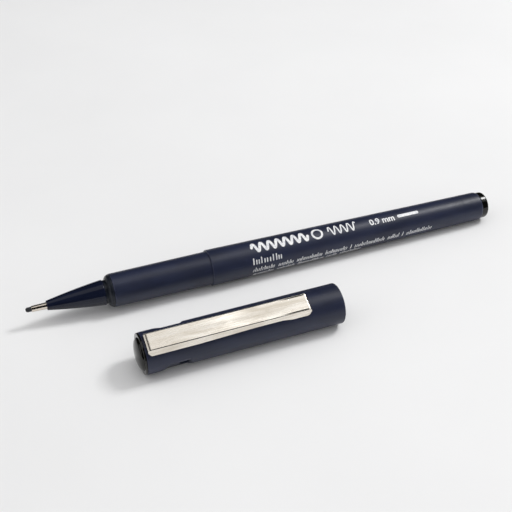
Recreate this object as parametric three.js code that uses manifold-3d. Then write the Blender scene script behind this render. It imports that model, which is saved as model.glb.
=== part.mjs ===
// A fineliner drawing pen, uncapped, with its cap lying beside it.
// Millimetres, +Z up. The pen lies along X with its nib toward -X, and the cap lies almost parallel to it
// on the -Y side with its mouth toward +X. The origin is on the surface, under the middle of the pair.
import * as THREE from 'three';
import { mergeVertices } from 'three/addons/utils/BufferGeometryUtils.js';
import Module from 'manifold-3d';

const wasm = await Module();
wasm.setup();

const { degToRad, radToDeg } = THREE.MathUtils;

const RING_STEPS = 48; // facets round every large turned piece
const FINE_STEPS = 24; // facets round the thin pieces at the nib
const FIT = 0.1; // radial clearance between pressed or slid-in turned pieces
const END_GAP = 0.1; // clearance between pieces that follow each other along an axis

// Pen. Stations run along its axis from the step between grip and barrel: minus is toward the nib.
const BARREL_RADIUS = 4.75; // just behind the step
const BARREL_TAPER = 0.0096; // radius lost per millimetre toward the rear
const BARREL_BORE = 2.95;
const STEP_EDGE = 0.3; // radius of the barrel's rounded edge at the step
const GRIP_RADIUS = 4.4; // just ahead of the step
const GRIP_TAPER = 0.0044; // radius lost per millimetre toward the nib
const GRIP_FRONT = -25.8;
const GRIP_CHAMFER = 0.14;
const BARREL_CHAMFER = 81.2; // where the rear edge starts to turn in
const BARREL_END = 81.9;
const REAR_EDGE = { turnIn: 0.05, atEnd: 0.22 }; // radius lost half way round the rear edge, and at its end

const PLUG_END = 84.05;
const PLUG = { headRadius: 3.7, crown: 0.7, hollow: 1.9, web: 1.5 };

const NOSE = {
  front: -42.25,
  rear: -27.9,
  frontRadius: 1.2,
  baseRadius: 3.28,
  swell: 0.16, // how much the cone swells between its ends
  spigotEnd: -19, // the tail inside the barrel
  bore: 2.3,
  throat: -36, // where the bore narrows to the sleeve's hole
  throatRadius: 1.5,
  sleeveHole: 0.98,
};

// The collar is a neck behind the nose cone and a flange that meets the end of the grip.
const COLLAR = { neckRadius: 3.05, flangeFront: -27.1, lipRadius: 3.4, edge: -26.05, flangeRadius: 4.24, bore: 2.9 };

const NIB_TIP = -47.4;
const NIB_RADIUS = 0.6;
const NIB_POINT = 0.5; // radius of the rounded point
const SLEEVE = {
  front: -45.95,
  rear: -32,
  bore: 0.66,
  tipRadius: 0.78,
  baseRadius: 0.86,
  flange: -35.8,
  flangeRadius: 1.3,
  flangeThickness: 0.5,
};
const HOLDER = { front: -35.1, rear: -24, radius: 2.15, frontRadius: 1.4, bore: 0.94, grooves: 3, groove: 0.7, web: 1.3 };

const RESERVOIR_RADIUS = 2.45;
const RESERVOIR_FRONT = -18.4;
const RESERVOIR_REAR = 71;
const NIB_TAIL = 5; // length of nib inside the reservoir
const FILM = { gap: 0.05, thickness: 0.15, inset: 0.5 };

// Cap. Stations run along its axis from the mouth: minus is toward the closed end.
const CAP_RADIUS = 5.1; // at the mouth
const CAP_TAPER = 0.0012; // radius lost per millimetre toward the closed end
const CAP_BORE = 4.5;
const CAP_INNER_BORE = 3.9; // behind the step that the inner cap seats on
const CAP_STEP = -32;
const CAP_SHELL_END = -49.85;
const CAP_LIP = 0.35; // radius of the mouth's rounded edge
const CAP_PLACE = new THREE.Vector2(24.55, -25.97); // the mouth, beside the pen
const CAP_YAW = degToRad(-0.484); // the cap is not quite parallel to the pen
const CAP_ROLL = degToRad(26.8); // the clip leans this far from straight up, away from the pen

const BUTTON = { rim: 0.4, rimRadius: 5.02, domeRadius: 4, rise: 1.2, spigot: 0.9 };
const INNER_CAP = {
  mouth: -27.3,
  mouthRadius: 3.62,
  sealRadius: 3.46,
  coneStart: -30,
  coneEnd: -44.5,
  floor: -48.2,
  tipRadius: 1.6,
  wall: 0.45,
  flangeWidth: 0.8,
};

// Side scoops and their vents.
const SCOOP_TURN = 101; // degrees from the clip to the first scoop
const SCOOP_DEPTH = 0.64;
const SCOOP_ENDS = [-46.4, -44.6, -39.8, -38.9]; // ramp down, floor, step up
const VENT = { from: -42, to: -39.7, width: 2.4 };

// Clip: a folded sheet-steel channel.
const SHEET = 0.38;
const CLIP_TOP = 6.2; // height of its plate above the cap's axis
const CLIP_HALF_WIDTH = 2.15;
const CLIP_SPLAY = 0.45; // how far the flanges lean out per millimetre of drop
const CLIP_ROOT = -49.4;
const CLIP_TIP = -9;
const CLIP_BEND = 0.3; // size of the fold between plate and flange
const CLIP_REST = 4.52; // height of the flanges' lower edges where they nearly touch the cap
const CLIP_WAIST = 0.45; // how much shallower the flanges are between root and foot
const CLIP_END_DROP = 0.28; // clearance under the turned-down ends
const TAB = { inset: 0.35, halfWidth: 1.4, bottom: 4.1 };
const SLOT_GAP = 0.3; // round the clip's tab in its slot

const barrelRadius = (station) => BARREL_RADIUS - BARREL_TAPER * station;
const gripRadius = (station) => GRIP_RADIUS + GRIP_TAPER * station;
const capRadius = (station) => CAP_RADIUS + CAP_TAPER * station;

// Turns a geometry's shared corners into one closed solid that can be cut and joined.
function toSolid(geometry) {
  const bare = geometry.clone();
  bare.deleteAttribute('normal');
  bare.deleteAttribute('uv');
  const merged = mergeVertices(bare, 1e-5);
  const index = merged.index.array;
  const triangles = [];
  for (let i = 0; i < index.length; i += 3) {
    const [a, b, c] = [index[i], index[i + 1], index[i + 2]];
    if (a !== b && b !== c && c !== a) triangles.push(a, b, c);
  }
  const vertProperties = new Float32Array(merged.attributes.position.array);
  return new wasm.Manifold(new wasm.Mesh({ numProp: 3, vertProperties, triVerts: new Uint32Array(triangles) }));
}

function toGeometry(solid) {
  const { vertProperties, triVerts } = solid.getMesh();
  const geometry = new THREE.BufferGeometry();
  geometry.setAttribute('position', new THREE.BufferAttribute(vertProperties, 3));
  geometry.setIndex(new THREE.BufferAttribute(triVerts, 1));
  geometry.computeVertexNormals();
  return geometry;
}

// A piece turned about the X axis. Its outline is [station, radius] pairs, which run toward +X outside
// and back inside; it starts and ends on the axis, or closes on itself for a ring or tube.
function turned(outline, steps = RING_STEPS) {
  const points = outline.map(([station, radius]) => new THREE.Vector2(radius, station));
  const onAxis = outline[0][1] === 0;
  if (!onAxis) points.push(points[0].clone());
  return toSolid(new THREE.LatheGeometry(points, steps).rotateZ(-Math.PI / 2));
}

// A rectangular bar from one corner to the other, [x, y, z] each.
function bar(low, high) {
  const size = high.map((value, axis) => value - low[axis]);
  const middle = high.map((value, axis) => (value + low[axis]) / 2);
  return toSolid(new THREE.BoxGeometry(...size).translate(...middle));
}

// A quarter-round outline from one radius to another, for a soft turned edge.
function quarterRound(centreStation, centreRadius, size, fromDegrees, toDegrees, steps = 4) {
  return Array.from({ length: steps + 1 }, (_, i) => {
    const angle = degToRad(fromDegrees + ((toDegrees - fromDegrees) * i) / steps);
    return [centreStation + size * Math.cos(angle), centreRadius + size * Math.sin(angle)];
  });
}

function piece(name, solid, colour, roughness, metalness = 0) {
  const material = new THREE.MeshStandardMaterial({ color: colour, roughness, metalness });
  const mesh = new THREE.Mesh(toGeometry(solid), material);
  mesh.name = name;
  return mesh;
}

const NAVY = 0x262a3f;
const NAVY_GLOSS = 0x14172a;
const BLACK = 0x111112;
const STEEL = 0xd8d2c6;
const WHITE = 0xe8e6df;

// --- Pen ---

function makeBarrel() {
  const front = gripRadius(GRIP_FRONT);
  const rear = barrelRadius(BARREL_CHAMFER);
  const solid = turned([
    [GRIP_FRONT, BARREL_BORE],
    [GRIP_FRONT, front - GRIP_CHAMFER],
    [GRIP_FRONT + GRIP_CHAMFER, front],
    [-STEP_EDGE / 2, gripRadius(0)],
    ...quarterRound(STEP_EDGE, BARREL_RADIUS - STEP_EDGE, STEP_EDGE, 180, 90),
    [BARREL_CHAMFER, rear],
    [(BARREL_CHAMFER + BARREL_END) / 2, rear - REAR_EDGE.turnIn],
    [BARREL_END - REAR_EDGE.turnIn, rear - REAR_EDGE.atEnd / 2],
    [BARREL_END, rear - REAR_EDGE.atEnd],
    [BARREL_END, BARREL_BORE],
  ]);
  return piece('barrel', solid, NAVY, 0.6);
}

function makeNoseCone() {
  const length = NOSE.rear - NOSE.front;
  const edge = 0.3; // the rounded front
  const radiusAt = (part) => {
    const straight = NOSE.frontRadius + (NOSE.baseRadius - NOSE.frontRadius) * part;
    return straight + NOSE.swell * 4 * part * (1 - part);
  };
  const flankSteps = 8;
  const flank = Array.from({ length: flankSteps }, (_, i) => {
    const part = edge / length + (1 - edge / length) * (i / (flankSteps - 1));
    return [NOSE.front + length * part, radiusAt(part)];
  });
  const solid = turned([
    [NOSE.front, NOSE.sleeveHole],
    [NOSE.front, NOSE.frontRadius - edge],
    [NOSE.front + edge / 3, NOSE.frontRadius - edge / 3],
    ...flank,
    [NOSE.rear, BARREL_BORE - FIT],
    [NOSE.spigotEnd, BARREL_BORE - FIT],
    [NOSE.spigotEnd, NOSE.bore],
    [NOSE.rear - 1, NOSE.bore],
    [NOSE.throat, NOSE.throatRadius],
    [NOSE.throat, NOSE.sleeveHole],
  ]);
  return piece('nose_cone', solid, NAVY_GLOSS, 0.15);
}

function makeSealingCollar() {
  const rear = GRIP_FRONT - END_GAP;
  const { neckRadius, flangeFront, lipRadius, edge, flangeRadius, bore } = COLLAR;
  const solid = turned([
    [NOSE.rear + END_GAP, bore],
    [NOSE.rear + END_GAP, neckRadius],
    [flangeFront, neckRadius],
    [flangeFront, lipRadius],
    [(flangeFront + edge) / 2, lipRadius + (flangeRadius - lipRadius) * 0.62],
    [edge, flangeRadius],
    [rear, flangeRadius],
    [rear, bore],
  ]);
  return piece('sealing_collar', solid, BLACK, 0.35);
}

function makeNibSleeve() {
  const { front, rear, bore, tipRadius, baseRadius, flange, flangeRadius, flangeThickness } = SLEEVE;
  const edge = 0.08;
  const solid = turned(
    [
      [front, bore],
      [front, tipRadius - edge / 2],
      [front + edge, tipRadius],
      [NOSE.front, baseRadius],
      [flange, baseRadius],
      [flange, flangeRadius],
      [flange + flangeThickness, flangeRadius],
      [flange + flangeThickness, baseRadius],
      [rear, baseRadius],
      [rear, bore],
    ],
    FINE_STEPS,
  );
  return piece('nib_sleeve', solid, STEEL, 0.25, 1);
}

function makeNib() {
  const tail = RESERVOIR_FRONT + NIB_TAIL;
  const solid = turned(
    [
      [NIB_TIP, 0],
      ...quarterRound(NIB_TIP + NIB_POINT, NIB_RADIUS - NIB_POINT, NIB_POINT, 170, 90),
      [tail, NIB_RADIUS],
      [tail + NIB_RADIUS * 2, 0],
    ],
    FINE_STEPS,
  );
  return piece('nib', solid, BLACK, 0.7);
}

function makeNibHolder() {
  const { front, rear, radius, frontRadius, bore, grooves, groove, web } = HOLDER;
  let solid = turned([
    [front, bore],
    [front, frontRadius],
    [NOSE.rear - 1, radius],
    [rear, radius],
    [rear, bore],
  ]);
  for (let i = 0; i < grooves; i += 1) {
    const cut = bar([front - 1, -groove / 2, web], [rear + 1, groove / 2, radius + 1]);
    solid = solid.subtract(cut.rotate([(360 / grooves) * i, 0, 0]));
  }
  return piece('nib_holder', solid, WHITE, 0.5);
}

function makeReservoirCore() {
  const socket = RESERVOIR_FRONT + NIB_TAIL + 2; // the nib's tail ends inside this blind hole
  const solid = turned([
    [socket, 0],
    [socket, NIB_RADIUS + FIT],
    [RESERVOIR_FRONT, NIB_RADIUS + FIT],
    [RESERVOIR_FRONT, RESERVOIR_RADIUS],
    [RESERVOIR_REAR, RESERVOIR_RADIUS],
    [RESERVOIR_REAR, 0],
  ]);
  return piece('reservoir_core', solid, 0x1c1c1e, 0.95);
}

function makeReservoirFilm() {
  const inside = RESERVOIR_RADIUS + FILM.gap;
  const solid = turned([
    [RESERVOIR_FRONT + FILM.inset, inside],
    [RESERVOIR_FRONT + FILM.inset, inside + FILM.thickness],
    [RESERVOIR_REAR - FILM.inset, inside + FILM.thickness],
    [RESERVOIR_REAR - FILM.inset, inside],
  ]);
  return piece('reservoir_film', solid, WHITE, 0.3);
}

function makeEndPlug() {
  const { headRadius, crown, hollow, web } = PLUG;
  const spigot = BARREL_BORE - FIT;
  const tail = RESERVOIR_REAR + 1;
  const solid = turned([
    [BARREL_END - web, 0],
    [BARREL_END - web, hollow],
    [tail, hollow],
    [tail, spigot],
    [BARREL_END + END_GAP, spigot],
    [BARREL_END + END_GAP, headRadius],
    ...quarterRound(PLUG_END - crown, headRadius - crown, crown, 60, 0),
    [PLUG_END, 0],
  ]);
  return piece('end_plug', solid, BLACK, 0.12);
}

// --- Cap ---

// One side scoop: a flat chord cut with ramped ends, at the top of the cap before it is turned into place.
function makeScoopCutter() {
  const [start, floorStart, floorEnd, end] = SCOOP_ENDS;
  const surface = capRadius(start);
  const floor = surface - SCOOP_DEPTH;
  const reach = CAP_RADIUS + 1;
  const outline = new THREE.Shape([
    new THREE.Vector2(start, surface),
    new THREE.Vector2(floorStart, floor),
    new THREE.Vector2(floorEnd, floor),
    new THREE.Vector2(end, surface + 0.02),
    new THREE.Vector2(end, reach),
    new THREE.Vector2(start, reach),
  ]);
  const depth = 2 * CAP_RADIUS;
  const wedge = new THREE.ExtrudeGeometry(outline, { depth, bevelEnabled: false });
  wedge.translate(0, 0, -depth / 2);
  const vent = bar([VENT.from, -VENT.width / 2, CAP_INNER_BORE - 1], [VENT.to, VENT.width / 2, CAP_RADIUS]);
  return toSolid(wedge.rotateX(Math.PI / 2)).add(vent);
}

function makeCapShell() {
  const leadIn = 0.3; // chamfer inside the mouth
  let solid = turned([
    [CAP_SHELL_END, CAP_INNER_BORE],
    [CAP_SHELL_END, capRadius(CAP_SHELL_END)],
    ...quarterRound(-CAP_LIP, capRadius(0) - CAP_LIP, CAP_LIP, 90, 0),
    [0, CAP_BORE + leadIn / 2],
    [-leadIn, CAP_BORE],
    [CAP_STEP + 0.6, CAP_BORE],
    [CAP_STEP, CAP_INNER_BORE],
  ]);
  const scoop = makeScoopCutter();
  for (const side of [0, 180]) {
    solid = solid.subtract(scoop.rotate([radToDeg(CAP_ROLL) + SCOOP_TURN + side, 0, 0]));
  }
  const slotHalf = TAB.halfWidth + SLOT_GAP;
  const slot = bar(
    [CLIP_ROOT + TAB.inset - SLOT_GAP, -slotHalf, CAP_INNER_BORE - 1],
    [CLIP_ROOT + TAB.inset + SHEET + SLOT_GAP, slotHalf, CAP_RADIUS + 1],
  );
  solid = solid.subtract(slot.rotate([radToDeg(CAP_ROLL), 0, 0]));
  return piece('cap_shell', solid, NAVY, 0.55);
}

function makeInnerCap() {
  const { mouth, mouthRadius, sealRadius, coneStart, coneEnd, floor, tipRadius, wall, flangeWidth } = INNER_CAP;
  const flangeBack = CAP_STEP + 0.6 + END_GAP;
  const flangeRadius = CAP_BORE - FIT;
  const bodyRadius = CAP_INNER_BORE - FIT;
  const solid = turned([
    [floor - wall, 0],
    [floor - wall, tipRadius],
    [coneEnd, tipRadius + wall],
    [CAP_STEP - 1, sealRadius],
    [CAP_STEP - 0.5, bodyRadius],
    [flangeBack, bodyRadius],
    [flangeBack, flangeRadius],
    [flangeBack + flangeWidth, flangeRadius],
    [flangeBack + flangeWidth, mouthRadius + wall / 2],
    [mouth, mouthRadius + wall / 2],
    [mouth, mouthRadius],
    [mouth - 0.5, sealRadius],
    [coneStart, sealRadius - 0.04],
    [coneEnd, tipRadius],
    [floor, tipRadius - 0.2],
    [floor, 0],
  ]);
  return piece('inner_cap', solid, WHITE, 0.45);
}

function makeCapEndButton() {
  const { rim, rimRadius, domeRadius, rise, spigot } = BUTTON;
  const seat = CAP_SHELL_END - END_GAP;
  const rimEnd = seat - rim;
  const edge = rim / 2;
  const domeSteps = 6;
  const dome = Array.from({ length: domeSteps }, (_, i) => {
    const angle = (Math.PI / 2) * (i / domeSteps);
    return [rimEnd - rise * Math.cos(angle), domeRadius * Math.sin(angle)];
  });
  const solid = turned([
    ...dome,
    [rimEnd, domeRadius],
    [rimEnd, rimRadius - edge],
    [rimEnd + edge, rimRadius],
    [seat, rimRadius],
    [seat, CAP_INNER_BORE - FIT],
    [seat + spigot, CAP_INNER_BORE - FIT],
    [seat + spigot, 0],
  ]);
  return piece('cap_end_button', solid, BLACK, 0.1);
}

// --- Clip ---

// Joins matching rings of corners into one closed skin with flat ends.
function loft(rings) {
  const count = rings[0].length;
  const positions = rings.flat(2);
  const index = [];
  for (let ring = 0; ring < rings.length - 1; ring += 1) {
    for (let i = 0; i < count; i += 1) {
      const a = ring * count + i;
      const b = ring * count + ((i + 1) % count);
      index.push(a, b, a + count, b, b + count, a + count);
    }
  }
  const flat = rings[0].map(([, y, z]) => new THREE.Vector2(y, z));
  const last = (rings.length - 1) * count;
  for (const [a, b, c] of THREE.ShapeUtils.triangulateShape(flat, [])) {
    index.push(a, c, b, last + a, last + b, last + c);
  }
  const geometry = new THREE.BufferGeometry();
  geometry.setAttribute('position', new THREE.Float32BufferAttribute(positions, 3));
  geometry.setIndex(index);
  return toSolid(geometry);
}

// The clip's cross-section at one station: a plate with a flange leaning out along each side.
function clipSection(station, top, flangeBottom) {
  const foot = CLIP_HALF_WIDTH + CLIP_SPLAY * (top - flangeBottom);
  const shoulder = CLIP_HALF_WIDTH + CLIP_SPLAY * CLIP_BEND;
  const insideFold = Math.max(top - CLIP_BEND - SHEET * 0.7, flangeBottom + 0.01);
  const outer = [
    [foot, flangeBottom],
    [shoulder, top - CLIP_BEND],
    [CLIP_HALF_WIDTH - CLIP_BEND, top],
  ];
  const inner = [
    [CLIP_HALF_WIDTH - CLIP_BEND, top - SHEET],
    [shoulder - SHEET, insideFold],
    [foot - SHEET, flangeBottom],
  ];
  const mirrored = (half) => half.map(([y, z]) => [-y, z]).reverse();
  const loop = [...outer, ...mirrored(outer), ...mirrored(inner), ...inner];
  return loop.map(([y, z]) => [station, y, z]);
}

function makeClip() {
  const waist = CLIP_REST + CLIP_WAIST;
  const endTop = CAP_RADIUS + CLIP_END_DROP + SHEET;
  const endBottom = endTop - SHEET - 0.05;
  const slope = CLIP_TOP - endTop; // the turned-down ends lean at 45 degrees
  const stations = [
    [CLIP_ROOT, endTop, endBottom],
    [CLIP_ROOT + slope, CLIP_TOP - 0.1, CLIP_REST + 0.3],
    [CLIP_ROOT + slope + 0.4, CLIP_TOP, CLIP_REST],
    [CLIP_ROOT + 12, CLIP_TOP, CLIP_REST],
    [CLIP_ROOT + 26, CLIP_TOP, waist],
    [CLIP_TIP - 7.5, CLIP_TOP, waist],
    [CLIP_TIP - 5, CLIP_TOP, CLIP_REST],
    [CLIP_TIP - slope - 0.6, CLIP_TOP, CLIP_REST],
    [CLIP_TIP - slope, CLIP_TOP - 0.1, CLIP_REST + 0.3],
    [CLIP_TIP, endTop, endBottom],
  ];
  const channel = loft(stations.map(([station, top, bottom]) => clipSection(station, top, bottom)));
  const tab = bar(
    [CLIP_ROOT + TAB.inset, -TAB.halfWidth, TAB.bottom],
    [CLIP_ROOT + TAB.inset + SHEET, TAB.halfWidth, CLIP_TOP - SHEET / 2],
  );
  const mesh = piece('clip', channel.add(tab), STEEL, 0.3, 1);
  mesh.rotation.x = CAP_ROLL;
  return mesh;
}

// --- Assembly ---

function makePen() {
  const pen = new THREE.Group();
  pen.add(makeBarrel(), makeNoseCone(), makeSealingCollar(), makeNibSleeve(), makeNib(), makeNibHolder());
  pen.add(makeReservoirCore(), makeReservoirFilm(), makeEndPlug());
  const lean = Math.atan(BARREL_TAPER); // the tapered barrel lies on its side, so the rear end is lower
  pen.rotation.y = lean;
  pen.position.z = BARREL_RADIUS * Math.cos(lean);
  return pen;
}

function makeCap() {
  const cap = new THREE.Group();
  cap.add(makeCapShell(), makeInnerCap(), makeCapEndButton(), makeClip());
  const lean = Math.atan(CAP_TAPER);
  cap.rotation.set(0, -lean, CAP_YAW, 'ZYX');
  cap.position.set(CAP_PLACE.x, CAP_PLACE.y, CAP_RADIUS * Math.cos(lean));
  return cap;
}

const model = new THREE.Group();
model.add(makePen(), makeCap());

// Centre the pair over the origin.
model.updateMatrixWorld(true);
const middle = new THREE.Box3().setFromObject(model, true).getCenter(new THREE.Vector3());
model.position.set(-middle.x, -middle.y, 0);
model.updateMatrixWorld(true);

export default model;
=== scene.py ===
# A fineliner pen lying uncapped, with its cap beside it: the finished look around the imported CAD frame.
# Lengths named here are millimetres, and become metres when a mesh is made.
# Pieces are built along +X in their own frame, the pen's or the cap's, so object coordinates follow the axis.
import math
import random

import bmesh
import bpy
import numpy as np
from mathutils import Matrix, Vector


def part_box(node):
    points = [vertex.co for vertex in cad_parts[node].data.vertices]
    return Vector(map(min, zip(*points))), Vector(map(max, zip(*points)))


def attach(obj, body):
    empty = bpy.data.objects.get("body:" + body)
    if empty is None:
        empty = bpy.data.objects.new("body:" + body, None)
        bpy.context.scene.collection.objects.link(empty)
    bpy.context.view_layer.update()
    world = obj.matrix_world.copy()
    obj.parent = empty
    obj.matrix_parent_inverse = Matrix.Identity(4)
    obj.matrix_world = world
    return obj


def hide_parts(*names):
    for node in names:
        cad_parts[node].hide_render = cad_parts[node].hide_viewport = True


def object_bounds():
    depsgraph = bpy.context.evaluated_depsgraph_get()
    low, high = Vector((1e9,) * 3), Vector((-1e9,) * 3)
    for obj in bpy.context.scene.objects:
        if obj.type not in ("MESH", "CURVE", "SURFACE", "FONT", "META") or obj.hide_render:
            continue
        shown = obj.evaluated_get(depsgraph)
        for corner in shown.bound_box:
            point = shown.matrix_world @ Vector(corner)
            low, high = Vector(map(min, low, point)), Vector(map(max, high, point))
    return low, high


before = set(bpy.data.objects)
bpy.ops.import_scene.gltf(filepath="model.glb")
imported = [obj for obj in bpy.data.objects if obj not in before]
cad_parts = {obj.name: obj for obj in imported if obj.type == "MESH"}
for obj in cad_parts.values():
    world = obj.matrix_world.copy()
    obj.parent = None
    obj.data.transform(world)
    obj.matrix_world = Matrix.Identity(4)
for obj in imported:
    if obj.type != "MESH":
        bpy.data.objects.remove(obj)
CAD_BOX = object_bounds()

MM = 0.001
TURN = 2 * math.pi

# Pen: stations from the step between grip and barrel, minus toward the nib.
BARREL_RADIUS = 4.75
BARREL_TAPER = 0.0096
BARREL_BORE = 2.95
STEP_EDGE = 0.3
GRIP_RADIUS = 4.4
GRIP_TAPER = 0.0044
GRIP_FRONT = -25.8
GRIP_EDGE = 0.14
BARREL_CHAMFER = 81.2
BARREL_END = 81.9
REAR_TURN_IN = 0.22
PRESS_RING = 75.9  # where the end plug's spigot starts to swell the barrel
PRESS_SWELL = 0.02
CORE_MIDDLE = 26.3  # station of the middle of the ink reservoir
FOLLOW_GAP = 0.1  # clearance between pieces that follow each other along an axis

NOSE = {
    "front": -42.25,
    "rear": -27.9,
    "front_radius": 1.2,
    "base_radius": 3.28,
    "swell": 0.16,  # how much the cone swells between its ends
    "edge": 0.22,  # length kept at the front for the rounded edge
    "spigot_radius": 2.85,
    "spigot_end": -19,  # the tail inside the barrel
    "bore": 2.3,
    "bore_end": -28.9,  # where the bore starts to narrow
    "throat": -36,
    "throat_radius": 1.5,
    "sleeve_hole": 0.98,
}
COLLAR = {
    "front": -27.8,
    "neck_radius": 3.05,
    "flange_front": -27.1,
    "lip_radius": 3.42,
    "shoulder": -26.72,
    "shoulder_radius": 3.93,
    "edge": -26.05,
    "flange_radius": 4.24,
    "bore": 2.9,
}
SLEEVE = {
    "front": -45.95,
    "rear": -32,
    "bore": 0.66,
    "tip_radius": 0.78,
    "base_radius": 0.86,
    "flange": -35.8,
    "flange_end": -35.3,
    "flange_radius": 1.3,
}
NIB = {"tip": -47.4, "radius": 0.6, "point": 0.5, "shaft_end": -13.4, "tail": -12.2}
PLUG = {
    "end": 84.05,
    "head_radius": 3.7,
    "crown": 0.7,
    "spigot_radius": 2.85,
    "spigot_end": 72.0,
    "hollow_radius": 1.9,
    "web": 1.5,
    "recess": 0.12,  # depth of the shallow dish in the end face
    "dimple": 0.3,
}

# Cap: stations from its mouth, minus toward the closed end.
CAP_RADIUS = 5.1
CAP_TAPER = 0.0012
CAP_BORE = 4.5
CAP_INNER_BORE = 3.9
CAP_STEP = -32
CAP_SHELL_END = -49.85
CAP_LIP = 0.35
CAP_YAW = math.radians(-0.484)
CAP_ROLL = math.radians(26.8)
SCOOP_TURN = math.radians(101)
SCOOP_DEPTH = 0.64
SCOOP_ENDS = (-46.4, -44.6, -39.8, -38.9)
VENT = {"from": -42.0, "to": -39.7, "half_width": 1.2}

INNER_CAP = {
    "mouth": -27.3,
    "mouth_radius": 3.62,
    "outside": 3.845,
    "seal": -27.8,
    "seal_radius": 3.46,
    "cone_start": -30,
    "cone_start_radius": 3.42,
    "cone_end": -44.5,
    "cone_end_radius": 1.6,
    "wall": 0.45,
    "floor": -48.2,
    "floor_radius": 1.4,
    "end": -48.65,
    "flange_width": 0.8,
}
BUTTON = {
    "dome_radius": 4.0,
    "rim": 0.4,
    "rim_radius": 5.02,
    "rise": 1.2,
    "spigot": 3.8,
    "spigot_length": 0.9,
}

# Clip.
SHEET = 0.38
CLIP_TOP = 6.2
CLIP_HALF_WIDTH = 2.15
CLIP_SPLAY = 0.45
CLIP_ROOT = -49.4
CLIP_TIP = -9
CLIP_REST = 4.52
CLIP_WAIST = 0.45
CLIP_END_DROP = 0.28
CLIP_BEND = 0.22  # size of the fold between plate and flange
TAB = {"inset": 0.35, "half_width": 1.4, "bottom": 4.1, "gap": 0.3}
CREASE = {"side": 1.93, "width": 0.1, "depth": 0.09, "from": -17.5, "to": -9.7}


def middle(node):
    low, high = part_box(node)
    return (Vector(low) + Vector(high)) / 2


def placed(origin, yaw, lean):
    return Matrix.Translation(origin) @ Matrix.Rotation(yaw, 4, "Z") @ Matrix.Rotation(lean, 4, "Y")


def pen_frame():
    lean = math.atan(BARREL_TAPER)
    axis = Vector((math.cos(lean), 0, -math.sin(lean)))
    return placed(middle("reservoir_core") - axis * CORE_MIDDLE * MM, 0, lean)


def cap_frame():
    lean = -math.atan(CAP_TAPER)
    turn = placed(Vector(), CAP_YAW, lean)
    origin = middle("cap_shell") - turn @ Vector((CAP_SHELL_END / 2 * MM, 0, 0))
    origin.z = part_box("cap_shell")[0][2] + CAP_RADIUS * MM * math.cos(lean)
    return Matrix.Translation(origin) @ turn


PEN = pen_frame()
CAP = cap_frame()


# --- Camera ---

CAMERA_FROM_STEP = Vector((-58.95, -178.28, 0)) * MM
CAMERA_HEIGHT = 146.24 * MM
CAMERA_HEADING = Vector((0.376313, 0.926493, 0)).normalized()
CAMERA_PITCH = math.radians(36.2975)
CAMERA_LENS = 63.281


def make_camera():
    data = bpy.data.cameras.new("camera")
    camera = bpy.data.objects.new("camera", data)
    bpy.context.collection.objects.link(camera)
    data.sensor_width = 36
    data.lens = CAMERA_LENS
    data.clip_start = 0.01
    camera.location = PEN.translation + CAMERA_FROM_STEP
    camera.location.z = CAD_BOX[0][2] + CAMERA_HEIGHT
    look = CAMERA_HEADING * math.cos(CAMERA_PITCH) - Vector((0, 0, math.sin(CAMERA_PITCH)))
    camera.rotation_euler = look.to_track_quat("-Z", "Y").to_euler()
    bpy.context.scene.camera = camera


make_camera()


# --- Materials ---

class Finish:
    """A node material on the Principled shader, built up from procedural textures in object coordinates."""

    def __init__(self, name, **constants):
        self.material = bpy.data.materials.new(name)
        self.material.use_nodes = True
        self.tree = self.material.node_tree
        self.shader = self.tree.nodes["Principled BSDF"]
        self.place = self.node("ShaderNodeTexCoord").outputs["Object"]
        for socket, value in constants.items():
            self.shader.inputs[socket.replace("_", " ")].default_value = value

    def node(self, kind, links=(), **settings):
        node = self.tree.nodes.new(kind)
        for key, value in settings.items():
            setattr(node, key, value)
        for socket, value in dict(links).items():
            if isinstance(value, bpy.types.NodeSocket):
                self.tree.links.new(value, node.inputs[socket])
            else:
                node.inputs[socket].default_value = value
        return node

    def stretched(self, along, across):
        """Object coordinates scaled to so many texture repeats per metre, along and across the axis."""
        scale = (along, across, across)
        return self.node("ShaderNodeMapping", {"Vector": self.place, "Scale": scale}).outputs["Vector"]

    def noise(self, along, across=None, detail=4.0, roughness=0.55, distortion=0.0):
        across = along if across is None else across
        links = {"Vector": self.stretched(along, across), "Scale": 1.0, "Detail": detail}
        links |= {"Roughness": roughness, "Distortion": distortion}
        return self.node("ShaderNodeTexNoise", links).outputs["Fac"]

    def cells(self, per_metre, feature="F1"):
        links = {"Vector": self.stretched(per_metre, per_metre), "Scale": 1.0}
        return self.node("ShaderNodeTexVoronoi", links, feature=feature).outputs["Distance"]

    def span(self, value, low, high, out_low=0.0, out_high=1.0):
        """Maps low..high to out_low..out_high and holds the ends."""
        links = {"Value": value, "From Min": low, "From Max": high, "To Min": out_low, "To Max": out_high}
        return self.node("ShaderNodeMapRange", links).outputs["Result"]

    def math(self, operation, a, b=0.0):
        node = self.node("ShaderNodeMath", {0: a, 1: b}, operation=operation)
        return node.outputs[0]

    def blend(self, factor, a, b):
        node = self.node("ShaderNodeMix", data_type="RGBA")
        for socket, value in ((0, factor), (6, a), (7, b)):
            if isinstance(value, bpy.types.NodeSocket):
                self.tree.links.new(value, node.inputs[socket])
            else:
                node.inputs[socket].default_value = value
        return node.outputs[2]

    def wear(self, amount=1.0):
        """The mesh's edge mark, broken up by noise."""
        mark = self.node("ShaderNodeAttribute", attribute_name="wear").outputs["Fac"]
        patch = self.span(self.noise(900, detail=6), 0.36, 0.62)
        return self.math("MULTIPLY", self.math("MULTIPLY", mark, patch), amount)

    def bump(self, height, distance, strength=1.0, under=None):
        links = {"Height": height, "Distance": distance, "Strength": strength}
        if under is not None:
            links["Normal"] = under
        return self.node("ShaderNodeBump", links).outputs["Normal"]

    def use(self, **sockets):
        for socket, value in sockets.items():
            self.tree.links.new(value, self.shader.inputs[socket.replace("_", " ")])
        return self.material


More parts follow.
